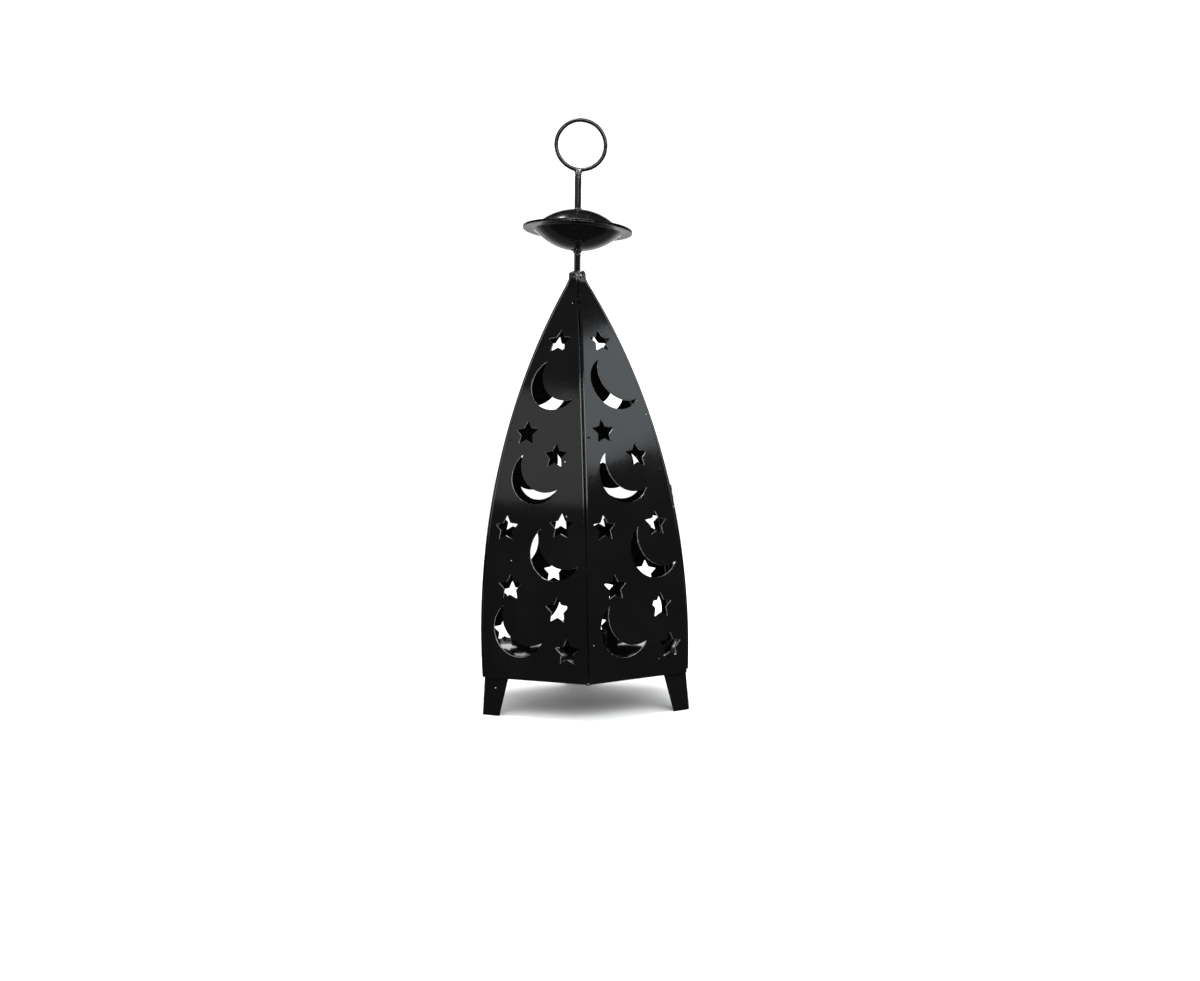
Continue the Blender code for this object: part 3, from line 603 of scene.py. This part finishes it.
class BentSheet:
    """A blank bent to the ogive, with its flanges folded and all its cut edges closed."""

    def __init__(self, blank, seed):
        self.blank, self.seed = blank, seed
        self.bm = bmesh.new()
        self.skins = [self.skin(0.0, OUTER), self.skin(SHEET, INNER)]
        border = [blank.source[index] for index in range(blank.border_count)]
        rows = len(blank.rows)
        top_reach = blank.border_across(blank.rows[-1])
        top = len(blank.between(Vector((top_reach, 0.0)), Vector((-top_reach, 0.0))))
        right = border[:rows]
        left = border[rows + top:2 * rows + top][::-1]
        self.flanges = {1.0: self.folded(1.0, right), -1.0: self.folded(-1.0, left)}
        self.close_end(border[rows - 1:rows + top + 1], -1, 1.0)
        self.close_end(border[2 * rows + top - 1:] + border[:1], 0, -1.0)
        self.line_holes()

    def vertex(self, point, depth):
        """A vertex for a point of the blank, in millimetres, a depth below the outer face."""
        across, length = point.x * MM, point.y * MM
        depth += waviness(across, length, self.blank, self.seed)
        return self.bm.verts.new(on_sheet(across, depth, length))

    def face(self, corners, paint):
        self.bm.faces.new(corners).material_index = paint

    def skin(self, depth, paint):
        """One face of the sheet between its bends."""
        verts = [self.vertex(point, depth) for point in self.blank.points]
        for triangle in self.blank.triangles:
            self.face([verts[index] for index in triangle], paint)
        return verts

    def ladder(self, side, column, skin):
        """Rungs of vertices from the flat part's side, round the bend, to the flange's rim."""
        rungs = []
        for row, index in zip(self.blank.rows, column):
            start, radius, flange = self.blank.bend(row)
            reach = max(radius - skin * SHEET, TIGHTEST_BEND)
            places = [(start, radius - reach)]
            for step in range(1, BEND_STEPS + 1):
                angle = math.radians(BEND_ANGLE) * step / BEND_STEPS
                places.append((start + reach * math.sin(angle), radius - reach * math.cos(angle)))
            across, depth = places[-1]
            places.append((across - flange * 0.5, depth + flange * COS30))
            bent = [self.bm.verts.new(on_sheet(side * across, depth, row)) for across, depth in places]
            rungs.append([self.skins[skin][index]] + bent)
        return rungs

    def folded(self, side, column):
        """Bend one side of both skins inwards, and close the flange's rim."""
        ladders = [self.ladder(side, column, skin) for skin in (0, 1)]
        for skin, ladder in enumerate(ladders):
            for low, high in zip(ladder, ladder[1:]):
                for step in range(BEND_STEPS + 2):
                    hidden = skin or step > BEND_STEPS * 0.7 + 1
                    self.face((low[step], low[step + 1], high[step + 1], high[step]),
                              INNER if hidden else OUTER)
        outer, inner = ladders
        for index in range(len(column) - 1):
            self.face((outer[index][-1], outer[index + 1][-1], inner[index + 1][-1], inner[index][-1]), CUT)
        return ladders

    def close_end(self, column, row, first_side):
        """Close the cut edge along the top or the bottom, from flange to flange."""
        paths = []
        for skin in (0, 1):
            flat = [self.skins[skin][index] for index in column]
            before = self.flanges[first_side][skin][row][:0:-1]
            paths.append(before + flat + self.flanges[-first_side][skin][row][1:])
        outer, inner = paths
        for index in range(len(outer) - 1):
            self.face((outer[index], outer[index + 1], inner[index + 1], inner[index]), CUT)

    def line_holes(self):
        """Line each stamped hole: rounded outer rim, cut edge, thin inner rim."""
        first = self.blank.border_count
        for hole in self.blank.holes:
            rim = [self.blank.source[first + index] for index in range(len(hole))]
            rims = [[self.skins[0][index] for index in rim]]
            rims += [[self.vertex(point, depth) for point in hole] for depth in (DEBURR, SHEET - BURR)]
            rims.append([self.skins[1][index] for index in rim])
            for low, high, paint in zip(rims, rims[1:], (OUTER, CUT, INNER)):
                for index in range(len(hole)):
                    self.face((low[index - 1], low[index], high[index], high[index - 1]), paint)
            first += len(hole)


def bent_sheet(name, azimuth, blank, body, nodes, seed):
    # the cut faces take the pale paint that carries the painted highlight
    paints = (SHEET_PAINT, EDGE_HIGHLIGHT_PAINT, INSIDE_PAINT)
    turn = Matrix.Rotation(math.radians(azimuth), 4, "Z")
    return piece(name, BentSheet(blank, seed).bm, paints, body, nodes, smooth=32.0, matrix=turn)


def holes_between(low, high):
    stars = [star(centre) for centre in STARS if low < centre[1] * MM < high]
    return stars + [moon(centre) for centre in MOONS if low < centre[1] * MM < high]


def make_shell():
    whole = Blank(0.0, SHEET_LENGTH, holes_between(0.0, SHEET_LENGTH), SEAM_GAP, FLANGE,
                  SPOT_WELDS + DENTS)
    azimuths = {"panel_front_left": -120, "panel_front_right": -60, "panel_back_right": 60,
                "panel_back_left": 120, "panel_left": 180}
    for seed, (node, azimuth) in enumerate(azimuths.items()):
        bent_sheet("stamped_" + node, azimuth, whole, "root", [node], seed)
    upper_low = length_at(UPPER_LOW)
    upper = Blank(upper_low, SHEET_LENGTH, holes_between(upper_low, SHEET_LENGTH),
                  SEAM_GAP, FLANGE, [])
    bent_sheet("stamped_panel_right_upper", 0, upper, "root", ["panel_right_upper"], 5)
    door_low, door_high = length_at(DOOR_LOW), length_at(DOOR_HIGH)
    door = Blank(door_low, door_high, holes_between(door_low, door_high),
                 DOOR_SEAM_GAP, DOOR_FLANGE, DOOR_DENTS)
    bent_sheet("stamped_door", 0, door, "door", ["door"], 6)


# ---- turned and welded pieces ----
def turned(bm, profile, sides):
    """Spin a closed profile of (radius, height); points with no radius become poles."""
    rings = []
    for radius, height in profile:
        count = sides if radius > 0.0 else 1
        angles = (math.tau * step / sides for step in range(count))
        rings.append([bm.verts.new((radius * math.cos(angle), radius * math.sin(angle), height))
                      for angle in angles])
    pairs = list(zip(rings, rings[1:]))
    if len(rings[0]) > 1:
        pairs.append((rings[-1], rings[0]))
    for low, high in pairs:
        for step in range(sides):
            after = (step + 1) % sides
            corners = [low[step % len(low)], low[after % len(low)],
                       high[after % len(high)], high[step % len(high)]]
            unique = list(dict.fromkeys(corners))
            if len(unique) > 2:
                bm.faces.new(unique)


def weld_bead(name, blobs, voxel, nodes, roughen=0.12 * MM):
    """Merge overlapping blobs (centre, radii) into one lumpy closed bead on the fixed body."""
    bm = bmesh.new()
    for centre, radii in blobs:
        scale = Matrix.Translation(centre) @ Matrix.Diagonal((*radii, 1.0))
        bmesh.ops.create_icosphere(bm, subdivisions=3, radius=1.0, matrix=scale)
    mesh = bpy.data.meshes.new(name + "_blobs")
    bm.to_mesh(mesh)
    bm.free()
    rough = bpy.data.objects.new(name + "_blobs", mesh)
    bpy.context.scene.collection.objects.link(rough)
    remesh = rough.modifiers.new("remesh", "REMESH")
    remesh.mode = "VOXEL"
    remesh.voxel_size = voxel
    smooth = rough.modifiers.new("smooth", "SMOOTH")
    smooth.iterations = 4
    graph = bpy.context.evaluated_depsgraph_get()
    merged = bpy.data.meshes.new_from_object(rough.evaluated_get(graph))
    bpy.data.objects.remove(rough, do_unlink=True)
    bm = bmesh.new()
    bm.from_mesh(merged)
    bm.normal_update()
    for vert in bm.verts:
        vert.co += vert.normal * noise.noise(vert.co * 900.0) * roughen
    return piece(name, bm, (WELD_HIGHLIGHT_PAINT,), "root", nodes, smooth=180.0)


def stem_frame():
    """Axes whose Z runs up the stem; heights are still counted from the ground."""
    pivot = Vector((0.0, 0.0, EDGE + STEM_PIVOT))
    return Matrix.Translation(pivot) @ Matrix.Rotation(STEM_LEAN, 4, "Y") @ Matrix.Translation(-pivot)


def dish_section(sign):
    """Half section of a spun dish: a domed bowl that flows into a flat brim with a rolled rim."""
    half_gap = 0.12 * MM
    cap_r = (DISH_BOWL_R ** 2 + DISH_DEPTH ** 2) / (2 * DISH_DEPTH)
    centre = DISH_DEPTH - cap_r + half_gap
    bore = STEM_R + 0.25 * MM
    roll = DISH_SHEET / 2
    rim = DISH_R - roll
    steps = 40

    def skin(radius, thickness, fillet):
        cap = centre + math.sqrt((cap_r + thickness) ** 2 - radius ** 2)
        brim = half_gap + thickness
        return (cap + brim + math.sqrt((cap - brim) ** 2 + fillet ** 2)) / 2

    radii = [bore + (rim - bore) * step / steps for step in range(steps + 1)]
    section = [(radius, skin(radius, 0.0, 0.5 * MM)) for radius in radii]
    low, high = section[-1][1], skin(rim, DISH_SHEET, 0.9 * MM)
    middle, reach = (low + high) / 2, (high - low) / 2
    section += [(rim + roll * math.sin(angle), middle - reach * math.cos(angle))
                for angle in (math.pi * step / 8 for step in range(1, 8))]
    section += [(radius, skin(radius, DISH_SHEET, 0.9 * MM)) for radius in reversed(radii)]
    return [(radius, sign * height) for radius, height in section]


def make_dishes(stem):
    centre = stem @ Vector((0.0, 0.0, EDGE + DISH_HEIGHT))
    tilt = Matrix.Translation(centre) @ Matrix.Rotation(DISH_TILT, 4, "Y")
    for node, sign in (("upper_dish", 1.0), ("lower_dish", -1.0)):
        bm = bmesh.new()
        turned(bm, dish_section(sign), 120)
        for vert in bm.verts:
            radius = math.hypot(vert.co.x, vert.co.y)
            angle = math.atan2(vert.co.y, vert.co.x)
            wobble = noise.noise(Vector((math.cos(angle), math.sin(angle), sign)) * 1.4) * 0.22 * MM
            vert.co.z += wobble * (radius / DISH_R) ** 3 * (1.0 if sign > 0 else 0.7)
        piece("spun_" + node, bm, (DISH_PAINT,), "root", [node], smooth=38.0, matrix=tilt)
    reach = DISH_DEPTH + DISH_SHEET
    top = stem @ Vector((0.0, 0.0, EDGE + DISH_HEIGHT + reach + 0.3 * MM))
    collar = [(top + Vector((1.9 * MM * math.cos(angle), 1.9 * MM * math.sin(angle), 0.0)),
               (1.15 * MM, 1.15 * MM, 1.0 * MM)) for angle in (math.tau * step / 9 for step in range(9))]
    weld_bead("upper_dish_weld", collar, 0.22 * MM, ["dish_weld_top"])
    low = stem @ Vector((0.0, 0.0, EDGE + DISH_HEIGHT - reach))
    flare = []
    for step in range(10):
        angle = math.tau * step / 10
        around = Vector((math.cos(angle), math.sin(angle), 0.0))
        spread = 3.0 * MM + noise.noise(around * 3.0) * 1.2 * MM
        for reach_out, drop, half, half_height in ((spread, -0.15 * MM, 1.3 * MM, 0.6 * MM),
                                                   (1.9 * MM, 0.9 * MM, 0.95 * MM, 1.4 * MM),
                                                   (1.5 * MM, 3.2 * MM, 0.85 * MM, 1.9 * MM)):
            place = low + around * reach_out - Vector((0.0, 0.0, drop))
            flare.append((place, (half, half, half_height)))
    weld_bead("lower_dish_weld", flare, 0.25 * MM, ["dish_weld_bottom"])


def make_stem(stem):
    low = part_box("stem")[0].z + STEM_FOOT_LIFT
    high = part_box("stem")[1].z + STEM_TOP_LIFT
    rows = 60
    bm = bmesh.new()
    rim = 0.4 * MM
    profile = [(0.0, low), (STEM_R - rim, low), (STEM_R, low + rim)]
    for step in range(1, rows):
        height = low + (high - low) * step / rows
        swell = noise.noise(Vector((3.0, 1.0, height * 90.0))) * 0.09 * MM
        profile.append((STEM_R + swell, height))
    profile += [(STEM_R, high - rim), (STEM_R - rim, high), (0.0, high)]
    turned(bm, profile, 32)
    piece("stem_rod", bm, (WIRE_PAINT,), "root", ["stem"], matrix=stem)


def make_ring():
    """The wire ring, and the flared weld that joins it to the stem."""
    outer = (RING_HIGH.x - RING_LOW.x) / 2 + 0.5 * MM
    centre = Vector(((RING_HIGH.x + RING_LOW.x) / 2, 0.0, RING_HIGH.z - outer + 0.3 * MM))
    radius = outer - RING_WIRE_R
    around, sides = 144, 14
    bm = bmesh.new()
    rings = []
    for step in range(around):
        angle = math.tau * step / around
        out = Vector((math.cos(angle), 0.0, math.sin(angle)))
        bend = noise.noise(out * 1.3) * 0.25 * MM
        aside = noise.noise(out * 1.1 + Vector((5.0, 0.0, 0.0))) * 0.45 * MM
        wire = RING_WIRE_R * (1.0 + 0.05 * noise.noise(out * 9.0))
        middle = centre + out * (radius + bend) + Vector((0.0, aside, 0.0))
        turns = (math.tau * side / sides for side in range(sides))
        spokes = (out * math.cos(turn) + Vector((0.0, math.sin(turn), 0.0)) for turn in turns)
        rings.append([bm.verts.new(middle + wire * spoke) for spoke in spokes])
    for index, ring in enumerate(rings):
        last = rings[index - 1]
        for side in range(sides):
            bm.faces.new((last[side - 1], last[side], ring[side], ring[side - 1]))
    piece("hanging_ring_wire", bm, (WIRE_PAINT,), "root", ["hanging_ring"])
    top = centre.z - radius
    foot = stem_frame() @ Vector((0.0, 0.0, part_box("stem")[1].z))
    blobs = [(foot - Vector((0.0, 0.0, 1.0 * MM)), (2.15 * MM, 2.5 * MM, 1.1 * MM))]
    # (share of the way from the stem's end to the ring, half width in millimetres)
    for share, half in ((0.2, 2.2), (0.4, 2.35), (0.62, 2.6), (0.8, 3.0), (0.93, 3.7)):
        place = foot.lerp(Vector((foot.x + 0.5 * MM, 0.0, top)), share)
        blobs.append((place, (half * MM, (2.5 - 0.9 * share) * MM, 1.1 * MM)))
    weld_bead("ring_neck_weld", blobs, 0.25 * MM, [])


def make_neck():
    """The bead that ties the gathered tabs to the stem, heaviest at the front."""
    neck = TAB_TOP - 4.2 * MM
    blobs = []
    for step in range(12):
        angle = math.tau * step / 12
        around = Vector((math.cos(angle), math.sin(angle), 0.0))
        lift = noise.noise(around * 2.0) * 0.9 * MM
        blobs.append((around * 3.3 * MM + Vector((0.0, 0.0, TAB_TOP - 1.3 * MM + lift)),
                      (1.8 * MM, 1.8 * MM, 1.5 * MM)))
    # the heavy drops at the front: (across, up, size), in millimetres
    for across, up, size in ((-0.8, 1.6, 2.1), (1.2, 3.2, 2.3), (2.6, 0.9, 1.7),
                             (0.2, -0.6, 1.6), (3.4, 3.9, 1.4), (-2.7, 3.5, 1.5)):
        place = Vector((across * MM, -4.9 * MM, neck + up * MM))
        blobs.append((place, (size * MM, 1.15 * MM, size * 0.85 * MM)))
    weld_bead("neck_weld_bead", blobs, 0.3 * MM, ["neck_weld"], roughen=0.3 * MM)


# ---- feet, floor and cup ----
def refined(node, name, body, paint, width, segments=2, angle=34.0, matrix=None):
    """A copy of a CAD node's mesh with its corners rounded, where they turn by more than an angle."""
    bm = bmesh.new()
    bm.from_mesh(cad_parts[node].data)
    bmesh.ops.remove_doubles(bm, verts=bm.verts, dist=1e-6)
    bmesh.ops.dissolve_limit(bm, angle_limit=math.radians(1.0), verts=bm.verts[:], edges=bm.edges[:])
    corners = [edge for edge in bm.edges if len(edge.link_faces) == 2
               and edge.calc_face_angle() > math.radians(angle)]
    bmesh.ops.bevel(bm, geom=corners, offset=width, segments=segments, profile=0.5, affect="EDGES",
                    clamp_overlap=True)
    for face in bm.faces:
        face.material_index = 0
    return piece(name, bm, (paint,), body, [node], smooth=40.0, matrix=matrix)


def make_fittings():
    for place in ("lower", "upper"):
        for part, body in (("fixed_leaf", "root"), ("door_leaf", "door"), ("pin", "root")):
            node = f"{place}_hinge_{part}"
            refined(node, "finished_" + node, body, FITTING_PAINT, 0.12 * MM)
    length = length_at(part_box("turn_button_rivet")[0].z)
    seat = on_sheet(0.0, PROUD, length)
    out = (seat - on_sheet(0.0, SHEET, length)).normalized()
    pressed = (Matrix.Translation(seat + out * BUTTON_LIFT) @ Matrix.Scale(BUTTON_PRESS, 4, out)
               @ Matrix.Translation(-seat))
    for node, body in (("turn_button", "turn_button"), ("turn_button_rivet", "root")):
        refined(node, "finished_" + node, body, FITTING_PAINT, 0.13 * MM, matrix=pressed)


def make_base():
    refined("floor_plate", "pressed_floor_plate", "root", PLATE_PAINT, 0.3 * MM, 3)
    for foot in ("foot_front_right", "foot_front_left", "foot_back"):
        refined(foot, "bent_" + foot, "root", SHEET_PAINT, 0.3 * MM, 3, angle=20.0)
    outer, wall = CUP_HIGH.x, 0.8 * MM
    low, high = CUP_LOW.z, CUP_HIGH.z
    curl = 1.5 * MM
    lip, small = wall / 2, curl - wall
    profile = [(0.0, low)]
    profile += [(outer - curl + curl * math.sin(angle), low + curl - curl * math.cos(angle))
                for angle in (math.pi / 2 * step / 6 for step in range(7))]
    profile += [(outer - lip + lip * math.cos(angle), high - lip + lip * math.sin(angle))
                for angle in (math.pi * step / 6 for step in range(7))]
    profile += [(outer - wall - small + small * math.cos(angle),
                 low + wall + small - small * math.sin(angle))
                for angle in (math.pi / 2 * step / 5 for step in range(6))]
    profile.append((0.0, low + wall))
    bm = bmesh.new()
    turned(bm, profile, 72)
    piece("pressed_candle_cup", bm, (INSIDE_PAINT,), "root", ["candle_cup"])


def make_corner_welds():
    """A drop of weld under each corner of the shell that has no foot and no hinge."""
    for name, azimuth in (("front", -90.0), ("back_left", 150.0)):
        out = Matrix.Rotation(math.radians(azimuth), 3, "Z") @ Vector((1.0, 0.0, 0.0))
        corner = corner_across(0.0) / math.sin(math.pi / 6) - BEND_R
        blobs = []
        for inset, lift, half, half_height in ((1.0, 0.15, 1.9, 0.9), (2.6, 0.4, 1.6, 0.8)):
            place = out * (corner - inset * MM) + Vector((0.0, 0.0, EDGE + lift * MM))
            blobs.append((place, (half * MM, half * MM, half_height * MM)))
        weld_bead(f"{name}_corner_weld", blobs, 0.25 * MM, [])


# ---- studio ----
LIGHT_CENTRE = Vector((0.0, 0.0, 0.2))
LIGHT_DISTANCE = 1.5
WHITE = (1.0, 1.0, 1.0)
# softboxes and cards: name, azimuth and elevation in degrees, size, radiance, colour, roll in degrees
SOFTBOXES = [
    ("backdrop", 90.0, 14.0, (1.3, 0.9), 1.15, WHITE, 0.0),
    ("left_side_card", 158.0, 10.5, (1.7, 0.28), 1.9, WHITE, 0.0),
    ("right_side_card", 22.0, 10.5, (1.7, 0.28), 1.2, WHITE, 0.0),
    ("right_window", -19.0, 32.8, (0.9, 0.5), 2.05, (0.88, 0.955, 1.0), 22.0),
    ("left_card", -154.0, 24.4, (0.7, 0.58), 0.72, (1.0, 0.98, 0.95), 0.0),
    ("front_right_strip", -72.0, 33.0, (0.8, 0.8), 6.5, (0.97, 0.99, 1.0), 0.0),
    ("front_left_strip", -104.0, 33.0, (0.5, 0.8), 3.6, WHITE, 0.0),
    ("overhead_left", -125.0, 80.0, (0.4, 0.4), 26.0, WHITE, 0.0),
    ("dome_glint", 126.0, 65.0, (0.34, 0.14), 18.0, WHITE, 0.0)]
# strips of lit floor behind the lantern: name, distance away, depth, radiance
BOUNCES = [("near_bounce", 0.3, 0.3, 0.12), ("middle_bounce", 0.6, 0.3, 0.35),
           ("far_bounce", 0.9, 0.3, 0.8), ("last_bounce", 1.4, 0.7, 0.95)]
BOUNCE_WIDTH = 2.4
BOUNCE_HEIGHT = 0.004

CAMERA_PLACE = Vector((-0.0337, -0.8440, 0.1604))
CAMERA_PAN, CAMERA_PITCH, CAMERA_ROLL = math.radians(3.167), math.radians(1.312), math.radians(0.878)
CAMERA_LENS = 37.88          # millimetres, on a film 36 mm wide


def add_softbox(name, place, target, size, radiance, color=WHITE, roll=0.0):
    """A rectangular light that reflections can see and the camera can't."""
    data = bpy.data.lights.new(name, "AREA")
    data.shape = "RECTANGLE"
    data.size, data.size_y = size
    data.energy = radiance * math.pi * size[0] * size[1]
    data.color = color
    light = bpy.data.objects.new(name, data)
    light.location = place
    aim = (Vector(target) - Vector(place)).to_track_quat("-Z", "Y")
    light.rotation_euler = (aim @ Quaternion((0.0, 0.0, 1.0), math.radians(roll))).to_euler()
    light.visible_camera = False
    bpy.context.scene.collection.objects.link(light)


def make_studio():
    scene = bpy.context.scene
    scene.view_settings.view_transform = "Standard"
    world = bpy.data.worlds.new("studio")
    world.use_nodes = True
    world.node_tree.nodes["Background"].inputs["Color"].default_value = (1.0, 1.0, 1.0, 1.0)
    world.node_tree.nodes["Background"].inputs["Strength"].default_value = 1.35
    world.cycles_visibility.glossy = False          # reflections come from the cards alone
    scene.world = world
    bm = bmesh.new()
    bmesh.ops.create_grid(bm, x_segments=8, y_segments=8, size=12.0)
    mesh = bpy.data.meshes.new("studio_floor")
    bm.to_mesh(mesh)
    bm.free()
    mesh.materials.append(floor_paint())
    floor = bpy.data.objects.new("studio_floor", mesh)
    scene.collection.objects.link(floor)
    # the floor shows shadows, and adds nothing to the reflections or the shading
    floor.visible_glossy = False
    floor.visible_diffuse = False
    floor.visible_shadow = False
    for name, azimuth, elevation, size, radiance, color, roll in SOFTBOXES:
        angle, rise = math.radians(azimuth), math.radians(elevation)
        aim = Vector((math.cos(angle) * math.cos(rise), math.sin(angle) * math.cos(rise), math.sin(rise)))
        add_softbox(name, LIGHT_CENTRE + aim * LIGHT_DISTANCE, LIGHT_CENTRE, size, radiance, color, roll)
    for name, away, depth, radiance in BOUNCES:
        add_softbox(name, (0.0, away, BOUNCE_HEIGHT), (0.0, away, 1.0), (BOUNCE_WIDTH, depth), radiance)


def make_camera():
    """The camera stands low, close to level, a little left of the lantern and turned towards it."""
    forward = Vector((math.sin(CAMERA_PAN) * math.cos(CAMERA_PITCH),
                      math.cos(CAMERA_PAN) * math.cos(CAMERA_PITCH), -math.sin(CAMERA_PITCH)))
    level = forward.cross(Vector((0.0, 0.0, 1.0))).normalized()
    upright = level.cross(forward)
    right = level * math.cos(CAMERA_ROLL) - upright * math.sin(CAMERA_ROLL)
    up = upright * math.cos(CAMERA_ROLL) + level * math.sin(CAMERA_ROLL)
    data = bpy.data.cameras.new("camera")
    data.lens = CAMERA_LENS
    data.sensor_width = 36.0
    camera = bpy.data.objects.new("camera", data)
    aim = Matrix((right, up, -forward)).transposed().to_4x4()
    camera.matrix_world = Matrix.Translation(CAMERA_PLACE) @ aim
    bpy.context.scene.collection.objects.link(camera)
    bpy.context.scene.camera = camera


make_camera()
make_shell()
make_fittings()
make_base()
stem = stem_frame()
make_stem(stem)
make_dishes(stem)
make_neck()
make_ring()
make_corner_welds()
make_studio()
